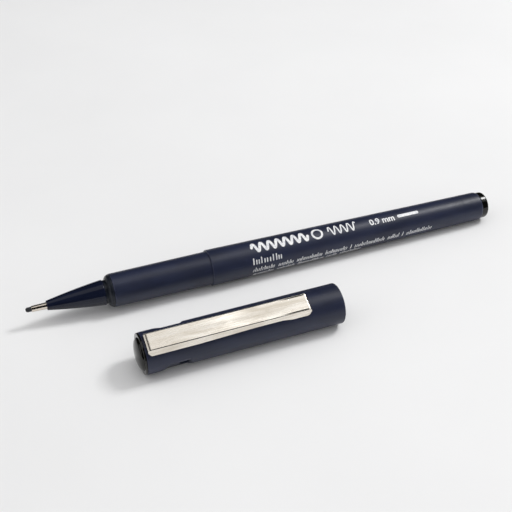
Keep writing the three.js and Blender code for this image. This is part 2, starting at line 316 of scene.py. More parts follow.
def rgb(code):
    """An sRGB colour code as linear RGBA."""
    parts = [((code >> shift) & 255) / 255 for shift in (16, 8, 0)]
    return (*(p / 12.92 if p <= 0.04045 else ((p + 0.055) / 1.055) ** 2.4 for p in parts), 1.0)


def moulded(name, deep, pale, worn, gloss, grain=1.0, scuffs=1.0, **constants):
    """Moulded or extruded plastic: mottled colour, fine grain, lengthwise scuffs and pale edges."""
    f = Finish(name, **constants)
    mottle = f.noise(70, 260, detail=5)
    speck = f.noise(5200, detail=2)
    tone = f.math("ADD", f.math("MULTIPLY", mottle, 0.75), f.math("MULTIPLY", speck, 0.25))
    colour = f.blend(f.span(tone, 0.36, 0.64), rgb(deep), rgb(pale))
    scuff = f.math("MULTIPLY", f.span(f.noise(60, 7000, detail=3), 0.66, 0.74), scuffs)
    colour = f.blend(f.math("MULTIPLY", scuff, 0.28), colour, rgb(worn))
    wear = f.wear(0.7)
    colour = f.blend(wear, colour, rgb(worn))
    rough = f.span(f.noise(210, 420, detail=6), 0.3, 0.7, gloss - 0.045, gloss + 0.045)
    rough = f.math("SUBTRACT", rough, f.math("MULTIPLY", f.math("MAXIMUM", wear, scuff), 0.09))
    fine = f.bump(f.noise(9000, detail=3), 0.000006 * grain)
    wave = f.bump(f.noise(330, 900, detail=2), 0.00001 * grain, under=fine)
    normal = f.bump(scuff, 0.000004, under=wave)
    return f.use(Base_Color=colour, Roughness=rough, Normal=normal)


def brushed(name, tint, shade, along, anisotropic):
    """Sheet or drawn steel: fine lines along the axis, faint smears and small pits."""
    f = Finish(name, Metallic=1.0, Anisotropic=anisotropic)
    lines = f.noise(along, 9000, detail=5, roughness=0.7)
    smear = f.noise(120, 480, detail=5, distortion=0.6)
    colour = f.blend(f.span(f.math("ADD", lines, smear), 0.82, 1.2), rgb(shade), rgb(tint))
    pit = f.span(f.cells(1700), 0.035, 0.075)
    colour = f.blend(pit, rgb(0x8C8478), colour)
    colour = f.blend(f.wear(0.6), colour, rgb(0xF7F3EA))
    # Painted shade: the crease attribute darkens the steel along the clip's creases, broken up by noise.
    crease = f.node("ShaderNodeAttribute", attribute_name="crease").outputs["Fac"]
    painted_crease_shade = f.math("MULTIPLY", crease, f.span(f.noise(700, detail=4), 0.25, 0.5, 0.75, 1.0))
    colour = f.blend(painted_crease_shade, colour, rgb(0x2A211D))
    rough = f.math("ADD", f.span(lines, 0.3, 0.7, 0.17, 0.31), f.span(smear, 0.35, 0.65, -0.03, 0.05))
    normal = f.bump(lines, 0.0000035)
    normal = f.bump(pit, 0.00001, under=normal)
    return f.use(Base_Color=colour, Roughness=rough, Normal=normal)


def fibrous(name, dry, wet, along, across, gloss):
    """Bundled fibre soaked in ink."""
    f = Finish(name)
    strand = f.noise(along, across, detail=6, roughness=0.65)
    pore = f.cells(9000)
    tone = f.math("ADD", strand, f.math("MULTIPLY", pore, 0.3))
    colour = f.blend(f.span(tone, 0.5, 0.86), rgb(wet), rgb(dry))
    colour = f.blend(f.wear(0.5), colour, rgb(dry))
    rough = f.span(strand, 0.3, 0.7, gloss - 0.12, gloss + 0.12)
    normal = f.bump(strand, 0.00002)
    return f.use(Base_Color=colour, Roughness=rough, Normal=f.bump(pore, 0.00001, under=normal))


def printed(name):
    """White pad-printed ink: slightly uneven, with pinholes that let the barrel's navy through."""
    f = Finish(name, IOR=1.48)
    hole = f.span(f.cells(2600), 0.05, 0.12)
    thin = f.span(f.noise(1500, detail=4), 0.3, 0.62)
    colour = f.blend(thin, rgb(0xC4C6CF), rgb(0xF4F4F2))
    colour = f.blend(hole, rgb(0x5A5E74), colour)
    rough = f.span(f.noise(2600, detail=3), 0.3, 0.7, 0.4, 0.58)
    return f.use(Base_Color=colour, Roughness=rough, Normal=f.bump(f.noise(5200, detail=4), 0.000008))


def film(name):
    """Clear wrap on the reservoir, faintly creased lengthwise."""
    f = Finish(name, IOR=1.46, Transmission_Weight=0.8)
    crease = f.noise(40, 1900, detail=5)
    colour = f.blend(f.span(crease, 0.35, 0.65), rgb(0xDDE0E2), rgb(0xF6F7F7))
    rough = f.span(crease, 0.3, 0.7, 0.12, 0.3)
    return f.use(Base_Color=colour, Roughness=rough, Normal=f.bump(crease, 0.00002))


MATTE_NAVY = moulded("matte_navy", 0x1C2134, 0x262C44, 0x52576F, 0.41, Specular_IOR_Level=0.42)
GLOSS_NAVY = moulded(
    "gloss_navy", 0x0D101F, 0x151A2C, 0x3A3E55, 0.13, grain=0.35, scuffs=0.5, Specular_IOR_Level=0.34
)
COLLAR_RUBBER = moulded(
    "collar_rubber", 0x10141B, 0x181D27, 0x343843, 0.36, grain=1.2, scuffs=0.3, Specular_IOR_Level=0.3
)
GLOSS_BLACK = moulded(
    "gloss_black", 0x090908, 0x10100D, 0x3C3C37, 0.14, grain=0.35, scuffs=0.6, Specular_IOR_Level=0.45
)
WHITE_PLASTIC = moulded("white_plastic", 0xDEDDD6, 0xEFEEE8, 0xF8F8F4, 0.42, Subsurface_Weight=0.08)
CLIP_STEEL = brushed("clip_steel", 0xF8F2E8, 0xD9D0C2, 70, 0.45)
NIB_METAL = brushed("nib_metal", 0xF6EDE2, 0xDACFC2, 160, 0.3)
NIB_FIBRE = fibrous("nib_fibre", 0x34363C, 0x0C0D10, 900, 6500, 0.62)
INK_FIBRE = fibrous("ink_fibre", 0x2E3036, 0x0E0F12, 160, 4200, 0.75)
CLEAR_FILM = film("clear_film")
PRINT_WHITE = printed("print_white")


# --- Mesh building ---

def outline(corners, closed=True, steps=6):
    """Turns corners (station, radius, rounding) into a dense outline [(station, radius, wear)].

    Outside corners get wear 1 in their rounding. Points close to each rounding keep the flats flat."""
    count = len(corners)
    out = []
    for i, (station, radius, *rest) in enumerate(corners):
        size = rest[0] if rest else 0
        if size == 0 or (not closed and i in (0, count - 1)):
            out.append((station, radius, 0.0))
            continue
        here = Vector((station, radius))
        back = Vector(corners[i - 1][:2]) - here
        ahead = Vector(corners[(i + 1) % count][:2]) - here
        half = back.angle(ahead) / 2
        cut = min(size / math.tan(half), back.length * 0.48, ahead.length * 0.48)
        size = cut * math.tan(half)
        centre = here + (back.normalized() + ahead.normalized()).normalized() * (size / math.sin(half))
        start = here + back.normalized() * cut - centre
        sweep = start.angle_signed(here + ahead.normalized() * cut - centre)
        outside = 1.0 if back.x * ahead.y - back.y * ahead.x > 0 else 0.0
        for k in range(steps + 1):
            turn = -sweep * k / steps
            point = centre + Matrix.Rotation(turn, 2) @ start
            out.append((point.x, point.y, outside * math.sin(math.pi * (k + 0.5) / (steps + 1))))
    return supported(out, closed)


def supported(points, closed, near=0.07, stride=1.5):
    """Adds points near both ends of every long run, and along it."""
    out = []
    count = len(points)
    for i, (s0, r0, w0) in enumerate(points):
        out.append((s0, r0, w0))
        if i == count - 1 and not closed:
            break
        s1, r1, _ = points[(i + 1) % count]
        run = math.hypot(s1 - s0, r1 - r0)
        if run < 4 * near:
            continue
        inner = np.linspace(near / run, 1 - near / run, max(2, int(run / stride) + 1))
        out += [(s0 + (s1 - s0) * t, r0 + (r1 - r0) * t, 0.0) for t in inner]
    return out


def finish_mesh(name, verts, faces, material, matrix, wear=None, sharp=38):
    mesh = bpy.data.meshes.new(name)
    mesh.from_pydata([tuple(c * MM for c in v) for v in verts], [], faces)
    mesh.validate()
    bm = bmesh.new()
    bm.from_mesh(mesh)
    bmesh.ops.recalc_face_normals(bm, faces=bm.faces)
    bm.to_mesh(mesh)
    bm.free()
    if wear is not None:
        mark = mesh.attributes.new("wear", "FLOAT", "POINT")
        mark.data.foreach_set("value", np.asarray(wear, dtype=np.float32))
    piece = bpy.data.objects.new(name, mesh)
    bpy.context.collection.objects.link(piece)
    piece.matrix_world = matrix
    mesh.materials.append(material)
    smooth(mesh, sharp)
    return piece


def smooth(mesh, sharp):
    mesh.shade_smooth()
    mesh.set_sharp_from_angle(angle=math.radians(sharp))


def turned(name, points, material, matrix, segments=160, closed=True, reshape=None, sharp=38):
    """Revolves a dense outline about the X axis.

    reshape(station, radius, angles) may vary the radius round it, and gives the wear there too."""
    angles = np.arange(segments) * TURN / segments
    verts, wear, rings = [], [], []
    for station, radius, mark in points:
        if radius < 1e-6:
            rings.append([len(verts)])
            verts.append((station, 0.0, 0.0))
            wear.append(mark)
            continue
        radii = np.full(segments, radius)
        marks = np.full(segments, mark)
        if reshape is not None:
            radii, extra = reshape(station, radius, angles)
            marks = np.maximum(marks, extra)
        rings.append(list(range(len(verts), len(verts) + segments)))
        verts += zip(np.full(segments, station), -radii * np.sin(angles), radii * np.cos(angles))
        wear += list(marks)
    faces = []
    pairs = list(zip(rings, rings[1:])) + ([(rings[-1], rings[0])] if closed else [])
    for a, b in pairs:
        for k in range(segments):
            n = (k + 1) % segments
            if len(a) == 1:
                faces.append((a[0], b[k], b[n]))
            elif len(b) == 1:
                faces.append((a[k], a[n], b[0]))
            else:
                faces.append((a[k], a[n], b[n], b[k]))
    return finish_mesh(name, verts, faces, material, matrix, wear, sharp)


def apply_modifiers(piece):
    graph = bpy.context.evaluated_depsgraph_get()
    mesh = bpy.data.meshes.new_from_object(piece.evaluated_get(graph))
    old = piece.data
    piece.modifiers.clear()
    piece.data = mesh
    bpy.data.meshes.remove(old)


def install(piece, body, slot, *nodes):
    bpy.context.view_layer.update()
    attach(piece, body)
    if nodes:
        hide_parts(*nodes)


def barrel_radius(station):
    """The taper, with a faint swelling behind the press ring."""
    swell = 0.0
    if station > PRESS_RING - 2:
        swell = PRESS_SWELL / (1 + math.exp(-(station - PRESS_RING) / 0.05))
    return BARREL_RADIUS - BARREL_TAPER * station + swell


def grip_radius(station):
    return GRIP_RADIUS + GRIP_TAPER * station


def cap_radius(station):
    return CAP_RADIUS + CAP_TAPER * station


# --- Pen ---

def make_barrel():
    rear = barrel_radius(BARREL_CHAMFER)
    run = BARREL_END - BARREL_CHAMFER
    head = outline(
        [
            (GRIP_FRONT, BARREL_BORE, 0.06),
            (GRIP_FRONT, grip_radius(GRIP_FRONT), GRIP_EDGE),
            (0, grip_radius(0), 0.1),
            (0, BARREL_RADIUS, STEP_EDGE),
            (3, barrel_radius(3)),
        ],
        closed=False,
    )
    ring = [(s, barrel_radius(s), 0.0) for s in np.linspace(PRESS_RING - 0.35, PRESS_RING + 0.35, 15)]
    round_rear = [
        (BARREL_CHAMFER + run * math.sin(t), rear - REAR_TURN_IN * (1 - math.cos(t)), math.sin(t) ** 2)
        for t in np.linspace(0, math.pi / 2, 12)
    ]
    tail = outline(
        [(*round_rear[-1][:2], 0), (BARREL_END, BARREL_BORE, 0.06), (GRIP_FRONT, BARREL_BORE)],
        closed=False,
    )
    middle_run = [(s, barrel_radius(s), 0.0) for s in np.linspace(4.5, 75, 48)]
    points = head + middle_run + ring + [(78, barrel_radius(78), 0.0)] + round_rear + tail[1:-1]
    install(turned("barrel_body", points, MATTE_NAVY, PEN, 192), "pen", "matte_navy", "barrel")


def make_nose():
    front, rear, base, tip = NOSE["front"], NOSE["rear"], NOSE["base_radius"], NOSE["front_radius"]
    spigot, bore, hole = NOSE["spigot_radius"], NOSE["bore"], NOSE["sleeve_hole"]

    def radius(part):
        return tip + (base - tip) * part + NOSE["swell"] * 4 * part * (1 - part)

    parts = np.linspace(NOSE["edge"] / (rear - front), 0.985, 16)
    flank = [(front + (rear - front) * p, radius(p)) for p in parts]
    corners = [(front, hole, 0.05), (front, tip, 0.16), *flank, (rear, base, 0.1), (rear, spigot, 0.05)]
    corners += [(NOSE["spigot_end"], spigot, 0.2), (NOSE["spigot_end"], bore, 0.05)]
    corners += [(NOSE["bore_end"], bore, 0.2), (NOSE["throat"], NOSE["throat_radius"], 0.2)]
    corners += [(NOSE["throat"], hole, 0.05)]
    nose = turned("nose_cone_body", outline(corners), GLOSS_NAVY, PEN, 160)
    install(nose, "pen", "gloss_navy", "nose_cone")


def make_collar():
    front, flange, neck = COLLAR["front"], COLLAR["flange_front"], COLLAR["neck_radius"]
    rear = GRIP_FRONT - FOLLOW_GAP
    corners = [(front, COLLAR["bore"], 0.04), (front, neck, 0.04), (flange, neck, 0.08)]
    corners += [(flange, COLLAR["lip_radius"], 0.12), (COLLAR["shoulder"], COLLAR["shoulder_radius"], 0.5)]
    corners += [(COLLAR["edge"], COLLAR["flange_radius"], 0.3), (rear, COLLAR["flange_radius"], 0.05)]
    corners += [(rear, COLLAR["bore"], 0.04)]
    ring = turned("collar_ring", outline(corners), COLLAR_RUBBER, PEN, 160)
    install(ring, "pen", "collar_rubber", "sealing_collar")


def make_sleeve():
    bore, base, wide = SLEEVE["bore"], SLEEVE["base_radius"], SLEEVE["flange_radius"]
    corners = [(SLEEVE["front"], bore, 0.03), (SLEEVE["front"], SLEEVE["tip_radius"], 0.06)]
    corners += [(NOSE["front"], base, 0.2), (SLEEVE["flange"], base, 0.05), (SLEEVE["flange"], wide, 0.05)]
    corners += [(SLEEVE["flange_end"], wide, 0.05), (SLEEVE["flange_end"], base, 0.05)]
    corners += [(SLEEVE["rear"], base, 0.05), (SLEEVE["rear"], bore, 0.03)]
    sleeve = turned("nib_sleeve_tube", outline(corners), NIB_METAL, PEN, 96)
    install(sleeve, "pen", "nib_metal", "nib_sleeve")


def make_nib():
    tip, radius, point = NIB["tip"], NIB["radius"], NIB["point"]
    turns = np.linspace(0, 1.5, 12)
    dome = [(tip + point * (1 - math.cos(t)), radius * math.sin(t) ** 0.9, 0.6) for t in turns]
    shaft = [(s, radius, 0.0) for s in np.linspace(tip + point + 0.05, NIB["shaft_end"], 24)]
    points = [(tip, 0.0, 0.6), *dome[1:], *shaft, (NIB["tail"], 0.0, 0.0)]
    nib = turned("nib_point", points, NIB_FIBRE, PEN, 64, closed=False)
    install(nib, "pen", "nib_fibre", "nib")


def make_end_plug():
    end, head, spigot, hollow = PLUG["end"], PLUG["head_radius"], PLUG["spigot_radius"], PLUG["hollow_radius"]
    web = BARREL_END - PLUG["web"]
    seat = BARREL_END + FOLLOW_GAP
    dish, dimple = end - PLUG["recess"], end - PLUG["dimple"]
    corners = [(web, 0), (web, hollow, 0.2), (PLUG["spigot_end"], hollow, 0.1)]
    corners += [(PLUG["spigot_end"], spigot, 0.25), (seat, spigot, 0.03), (seat, head, 0.12)]
    corners += [(end, head, PLUG["crown"]), (end, 2.45, 0.1), (dish, 2.3, 0.1)]
    corners += [(dish - 0.04, 0.45, 0.05), (dimple, 0.35, 0.05), (dimple, 0)]
    plug = turned("end_plug_body", outline(corners, closed=False), GLOSS_BLACK, PEN, 128, closed=False)
    install(plug, "pen", "gloss_black", "end_plug")


# --- Printed marks on the barrel ---
# Generic marks only: line samples, a ring, the line width with a bar that thick, and rows of small ticks.

PRINT_PROUD = 0.02
PRINT_THICKNESS = 0.03
PRINT_CELL = 0.3

SAMPLES_TURN = 20  # degrees round the barrel from straight up
BOLD_WAVE = {"start": 11.5, "end": 27.6, "height": 2.45, "period": 2.3}
BOLD_WEIGHT = 0.74
RING_MIDDLE = 30.4
RING_RADIUS = 1.4
RING_WEIGHT = 0.55
THIN_WAVE = {"start": 33.7, "end": 42.0, "height": 2.6, "period": 1.9}
THIN_WEIGHT = 0.38

SIZE_MARK_TURN = 22.5
SIZE_MARK = {"left": 46.15, "width": 7.6, "bold": 0.02}
LINE_WIDTH = 0.9  # the width of line the nib draws
LINE_SAMPLE = (55.2, 61.0)  # from, to: a plain bar as thick as that line

# Rows of ticks: degrees round the barrel, start, lengths of the groups, height, weight and lean.
TICK_ROWS = (
    (66, 11.1, (8.1,), 1.5, 0.34, 0.05),
    (97, 10.9, (6.2, 4.2, 7.4, 6.6, 0.2, 9.2, 3.6, 0.2, 8.0), 1.25, 0.2, 0.25),
    (120, 11.2, (5.8, 4.8, 7.6, 3.2, 6.0), 1.15, 0.2, 0.25),
)
TICK_HEIGHTS = (0.62, 0.62, 0.66, 1.0)  # parts of the row's height
TICK_GAP = (1.9, 2.7)  # from tick to tick, in weights
GROUP_GAP = 0.9


class Decal:
    """Flat shapes in millimetres, x along the barrel and y up, wrapped on to it round one line."""

    def __init__(self, centre_degrees):
        self.centre = math.radians(centre_degrees)
        self.bm = bmesh.new()

    def strip(self, left, right, across=3):
        """A band between two matching rows of points."""
        rows = [[a + (b - a) * t for t in np.linspace(0, 1, across + 1)] for a, b in zip(left, right)]
        made = [[self.bm.verts.new((*p, 0)) for p in row] for row in rows]
        for near, far in zip(made, made[1:]):
            for k in range(across):
                self.bm.faces.new((near[k], far[k], far[k + 1], near[k + 1]))

    def stroke(self, points, width, loop=False):
        """A line of even width through the points, with round ends unless it is a loop."""
        path = [Vector(p) for p in points]
        count = len(path)
        left, right = [], []
        for i, here in enumerate(path):
            back = path[i - 1] if loop or i else here
            ahead = path[(i + 1) % count] if loop or i < count - 1 else here
            along = (ahead - back).normalized()
            side = Vector((-along.y, along.x)) * width / 2
            left.append(here + side)
            right.append(here - side)
        if loop:
            left.append(left[0])
            right.append(right[0])
        else:
            first = self.round_end(path[0], path[0] - path[1], (left[0] - right[0]) / 2, width)
            last = self.round_end(path[-1], path[-1] - path[-2], (left[-1] - right[-1]) / 2, width)
            left = [a for a, _ in reversed(first)] + left + [a for a, _ in last]
            right = [b for _, b in reversed(first)] + right + [b for _, b in last]
        self.strip(left, right)

    def round_end(self, tip, outward, side, width):
        """Pairs of points that carry a line's two edges round its end."""
        along = outward.normalized()
        pairs = []
        for t in np.linspace(0.35, 1.0, 4)[:3]:
            push = along * width / 2 * math.sin(t * math.pi / 2)
            pull = side * math.cos(t * math.pi / 2)
            pairs.append((tip + push + pull, tip + push - pull))
        return pairs

    def text(self, words, left, width, bold):
        curve = bpy.data.curves.new("words", "FONT")
        curve.body = words
        curve.offset = bold
        holder = bpy.data.objects.new("words", curve)
        bpy.context.collection.objects.link(holder)
        graph = bpy.context.evaluated_depsgraph_get()
        mesh = bpy.data.meshes.new_from_object(holder.evaluated_get(graph))
        xs = [v.co.x for v in mesh.vertices]
        tall = max(v.co.y for v in mesh.vertices)
        scale = width / (max(xs) - min(xs))
        shift = Matrix.Translation((left - min(xs) * scale, -tall * scale / 2, 0))
        mesh.transform(shift @ Matrix.Scale(scale, 4))
        self.bm.from_mesh(mesh)
        bpy.data.objects.remove(holder)
        bpy.data.curves.remove(curve)
        bpy.data.meshes.remove(mesh)

    def cut_grid(self):
        """Cuts the shapes into small cells so they can bend round the barrel."""
        ys = [v.co.y for v in self.bm.verts]
        for y in np.arange(math.floor(min(ys) / PRINT_CELL), max(ys) / PRINT_CELL) * PRINT_CELL:
            geometry = self.bm.verts[:] + self.bm.edges[:] + self.bm.faces[:]
            bmesh.ops.bisect_plane(self.bm, geom=geometry, dist=1e-5, plane_co=(0, y, 0), plane_no=(0, 1, 0))

    def finish(self, name):
        bmesh.ops.remove_doubles(self.bm, verts=self.bm.verts, dist=1e-4)
        for v in self.bm.verts:
            radius = barrel_radius(v.co.x) + PRINT_PROUD
            angle = self.centre - v.co.y / radius
            v.co = Vector((v.co.x, -radius * math.sin(angle), radius * math.cos(angle))) * MM
        mesh = bpy.data.meshes.new(name)
        for face in self.bm.faces:
            centre = face.calc_center_median()
            face.normal_update()
            if face.normal.dot(Vector((0, centre.y, centre.z))) < 0:
                face.normal_flip()
        self.bm.to_mesh(mesh)
        self.bm.free()
        piece = bpy.data.objects.new(name, mesh)
        bpy.context.collection.objects.link(piece)
        piece.matrix_world = PEN
        mesh.materials.append(PRINT_WHITE)
        thick = piece.modifiers.new("thickness", "SOLIDIFY")
        thick.thickness = PRINT_THICKNESS * MM
        thick.offset = -1
        apply_modifiers(piece)
        smooth(piece.data, 30)
        install(piece, "pen", None)


def wave(start, end, height, period, steps=22):
    count = int((end - start) / period * steps)
    xs = np.linspace(start, end, count)
    return [(x, height / 2 * math.sin(TURN * (x - start) / period)) for x in xs]


def make_line_samples():
    decal = Decal(SAMPLES_TURN)
    decal.stroke(wave(**BOLD_WAVE), BOLD_WEIGHT)
    turns = np.linspace(0, TURN, 48, endpoint=False)
    circle = [(RING_MIDDLE + RING_RADIUS * math.cos(t), RING_RADIUS * math.sin(t)) for t in turns]
    decal.stroke(circle, RING_WEIGHT, loop=True)
    decal.stroke(wave(**THIN_WAVE), THIN_WEIGHT)
    decal.finish("print_line_samples")


def make_size_mark():
    decal = Decal(SIZE_MARK_TURN)
    decal.text("0.9 mm", **SIZE_MARK)
    decal.cut_grid()
    decal.stroke([(x, 0) for x in np.linspace(*LINE_SAMPLE, 12)], LINE_WIDTH)
    decal.finish("print_size_mark")


def tick_row(decal, rng, start, groups, tall, weight, lean):
    """A row of small upright ticks in groups."""
    x = start
    for length in groups:
        end = x + length
        while x < end:
            height = tall * rng.choice(TICK_HEIGHTS)
            parts = np.linspace(0, 1, 7)
            decal.stroke([(x + lean * height * t, height * t - tall / 2) for t in parts], weight)
            x += rng.uniform(*TICK_GAP) * weight
        x += GROUP_GAP


def make_tick_rows():
    rng = random.Random(9)
    for number, (degrees, *row) in enumerate(TICK_ROWS, start=1):
        decal = Decal(degrees)
        tick_row(decal, rng, *row)
        decal.finish(f"print_tick_row_{number}")


# --- Cap ---

def scoop_floor(station):
    """Distance from the axis to the scoop's flat at a station, or a large number outside the scoop."""
    start, floor_start, floor_end, end = SCOOP_ENDS
    surface = cap_radius(start)
    if station <= start or station >= end + 0.15:
        return 2 * CAP_RADIUS
    if station < floor_start:
        return surface - SCOOP_DEPTH * (station - start) / (floor_start - start)
    if station < floor_end:
        return surface - SCOOP_DEPTH
    return surface - SCOOP_DEPTH + (SCOOP_DEPTH + 0.02) * (station - floor_end) / (end - floor_end)


def scooped(station, radius, angles):
    """Presses both side scoops into the shell's outside, with softened edges."""
    marks = np.zeros_like(angles)
    if radius < CAP_BORE + 0.2:
        return np.full_like(angles, radius), marks
    radii = np.full_like(angles, radius)
    floor = scoop_floor(station)
    soft = 0.035
    for turn in (CAP_ROLL + SCOOP_TURN, CAP_ROLL + SCOOP_TURN + math.pi):
        lean = np.cos(angles - turn)
        flat = np.where(lean > 0.3, floor / np.maximum(lean, 0.3), 2 * CAP_RADIUS)
        gap = np.clip((radii - flat) / soft, -30, 30)
        marks = np.maximum(marks, np.exp(-(((radii - flat) / 0.05) ** 2)) * (floor < CAP_RADIUS))
        radii = radii - soft * np.log1p(np.exp(gap))
    return radii, marks


def rounded_box(low, high, size, matrix):
    """A bar with rounded edges, used only to cut."""
    bm = bmesh.new()
    bmesh.ops.create_cube(bm, size=1)
    span = [b - a for a, b in zip(low, high)]
    centre = [(a + b) / 2 for a, b in zip(low, high)]
    for v in bm.verts:
        v.co = Vector([(c + f * s) * MM for c, f, s in zip(centre, v.co, span)])
    bmesh.ops.bevel(bm, geom=bm.edges[:], offset=size * MM, segments=3, affect="EDGES", profile=0.5)
    mesh = bpy.data.meshes.new("cutter")
    bm.to_mesh(mesh)
    bm.free()
    cutter = bpy.data.objects.new("cutter", mesh)
    bpy.context.collection.objects.link(cutter)
    cutter.matrix_world = matrix
    return cutter


def cut_away(piece, cutters):
    for cutter in cutters:
        cut = piece.modifiers.new("cut", "BOOLEAN")
        cut.operation = "DIFFERENCE"
        cut.solver = "EXACT"
        cut.object = cutter
    bpy.context.view_layer.update()
    apply_modifiers(piece)
    for cutter in cutters:
        bpy.data.objects.remove(cutter)


def make_cap_shell():
    end = outline(
        [
            (CAP_SHELL_END + 2, CAP_INNER_BORE),
            (CAP_SHELL_END, CAP_INNER_BORE, 0.06),
            (CAP_SHELL_END, cap_radius(CAP_SHELL_END), 0.1),
            (CAP_SHELL_END + 2, cap_radius(CAP_SHELL_END + 2)),
        ],
        closed=False,
    )
    fine = [(s, cap_radius(s), 0.0) for s in np.arange(SCOOP_ENDS[0] - 0.3, SCOOP_ENDS[3] + 0.5, 0.09)]
    mouth = outline(
        [
            (-36, cap_radius(-36)),
            (0, cap_radius(0), CAP_LIP),
            (0, CAP_BORE + 0.08, 0.06),
            (-0.3, CAP_BORE, 0.2),
            (CAP_STEP + 0.6, CAP_BORE, 0.1),
            (CAP_STEP, CAP_INNER_BORE, 0.1),
            (CAP_SHELL_END + 2, CAP_INNER_BORE),
        ],
        closed=False,
    )
    shell = turned("cap_shell_body", end + fine + mouth[:-1], MATTE_NAVY, CAP, 256, reshape=scooped)
    cutters = []
    for side in (0, math.pi):
        turn = CAP @ Matrix.Rotation(CAP_ROLL + SCOOP_TURN + side, 4, "X")
        low = (VENT["from"], -VENT["half_width"], CAP_INNER_BORE - 1)
        high = (VENT["to"], VENT["half_width"], CAP_RADIUS + 1)
        cutters.append(rounded_box(low, high, 0.12, turn))
    slot_half = TAB["half_width"] + TAB["gap"]
    at = CLIP_ROOT + TAB["inset"]
    low = (at - TAB["gap"], -slot_half, CAP_INNER_BORE - 1)
    high = (at + SHEET + TAB["gap"], slot_half, CAP_RADIUS + 1)
    cutters.append(rounded_box(low, high, 0.08, CAP @ Matrix.Rotation(CAP_ROLL, 4, "X")))
    cut_away(shell, cutters)
    smooth(shell.data, 38)
    install(shell, "cap", "matte_navy", "cap_shell")


def make_inner_cap():
    part = INNER_CAP
    back = CAP_STEP + 0.7
    front = back + part["flange_width"]
    flange = CAP_BORE - FOLLOW_GAP
    body = CAP_INNER_BORE - FOLLOW_GAP
    corners = [(part["end"], 0), (part["end"], part["cone_end_radius"], 0.3)]
    corners += [(part["cone_end"], part["cone_end_radius"] + part["wall"], 0.8)]
    corners += [(CAP_STEP - 1, part["seal_radius"], 0.3), (CAP_STEP - 0.5, body, 0.2), (back, body, 0.05)]
    corners += [(back, flange, 0.08), (front, flange, 0.08), (front, part["outside"], 0.15)]
    corners += [(part["mouth"], part["outside"], 0.1), (part["mouth"], part["mouth_radius"], 0.06)]
    corners += [(part["seal"], part["seal_radius"], 0.3)]
    corners += [(part["cone_start"], part["cone_start_radius"], 0.3)]
    corners += [(part["cone_end"], part["cone_end_radius"], 0.6), (part["floor"], part["floor_radius"], 0.3)]
    corners += [(part["floor"], 0)]
    points = outline(corners, closed=False)
    liner = turned("inner_cap_liner", points, WHITE_PLASTIC, CAP, 128, closed=False)
    install(liner, "cap", "white_plastic", "inner_cap")


def make_end_button():
    seat = CAP_SHELL_END - FOLLOW_GAP
    rim_end = seat - BUTTON["rim"]
    spigot_end = seat + BUTTON["spigot_length"]
    turns = np.linspace(0, math.pi / 2 * 0.985, 26)
    dome = [
        (rim_end - BUTTON["rise"] * math.cos(t), BUTTON["dome_radius"] * math.sin(t), 0.0) for t in turns
    ]
    rim = outline(
        [
            (rim_end, BUTTON["dome_radius"] + 0.01, 0.03),
            (rim_end, BUTTON["rim_radius"], 0.16),
            (seat, BUTTON["rim_radius"], 0.05),
            (seat, BUTTON["spigot"], 0.03),
            (spigot_end, BUTTON["spigot"], 0.15),
            (spigot_end, 0),
        ],
        closed=False,
    )
    button = turned("cap_end_button_body", dome + rim, GLOSS_BLACK, CAP, 160, closed=False)
    install(button, "cap", "gloss_black", "cap_end_button")


def path_heights(corners, stations):
    """Heights along a rounded outline of (station, height, rounding) corners, at the stations asked for."""
    points = outline(corners, closed=False, steps=8)
    return np.interp(stations, [p[0] for p in points], [p[1] for p in points])


def fold_crease(station):
    """How deeply the fold beside the plate is creased: only toward the clip's tip."""
    rise = (station - CREASE["from"]) / 4
    fall = (CREASE["to"] - station) / 0.2
    return max(0.0, min(1.0, rise, fall))


def root_crease(station):
    """How deeply the plate is creased across, where the root end turns down."""
    bend = CLIP_ROOT + CLIP_TOP - (CAP_RADIUS + CLIP_END_DROP + SHEET)
    return math.exp(-(((station - bend - 0.05) / 0.13) ** 2))


def clip_half_section(top, bottom, station):
    """The outside of half the clip's section, from the plate's middle to the flange's foot."""
    foot = CLIP_HALF_WIDTH + CLIP_SPLAY * (top - bottom)
    corner = Vector((CLIP_HALF_WIDTH, top))
    widths = np.concatenate([np.linspace(0, 1.44, 7), np.linspace(1.52, CLIP_HALF_WIDTH - CLIP_BEND, 6)])
    plate = [Vector((w, top)) for w in widths]
    down = Vector((foot - CLIP_HALF_WIDTH, bottom - top))
    drop = down.length
    reach = min(CLIP_BEND, drop * 0.45)
    start = plate[-1]
    stop = corner + down * (reach / drop)
    bend = []
    for t in np.linspace(0, 1, 9)[1:]:
        bend.append(start * (1 - t) ** 2 + corner * 2 * t * (1 - t) + stop * t**2)
    flange = [stop + (corner + down - stop) * t for t in np.linspace(0, 1, 9)[1:]]
    half = plate + bend + flange
    for point in half:
        if point.x < CLIP_HALF_WIDTH and point.y > top - 0.2:
            beside = math.exp(-(((point.x - CREASE["side"]) / CREASE["width"]) ** 2)) * fold_crease(station)
            point.y -= CREASE["depth"] * max(beside, root_crease(station))
    return half


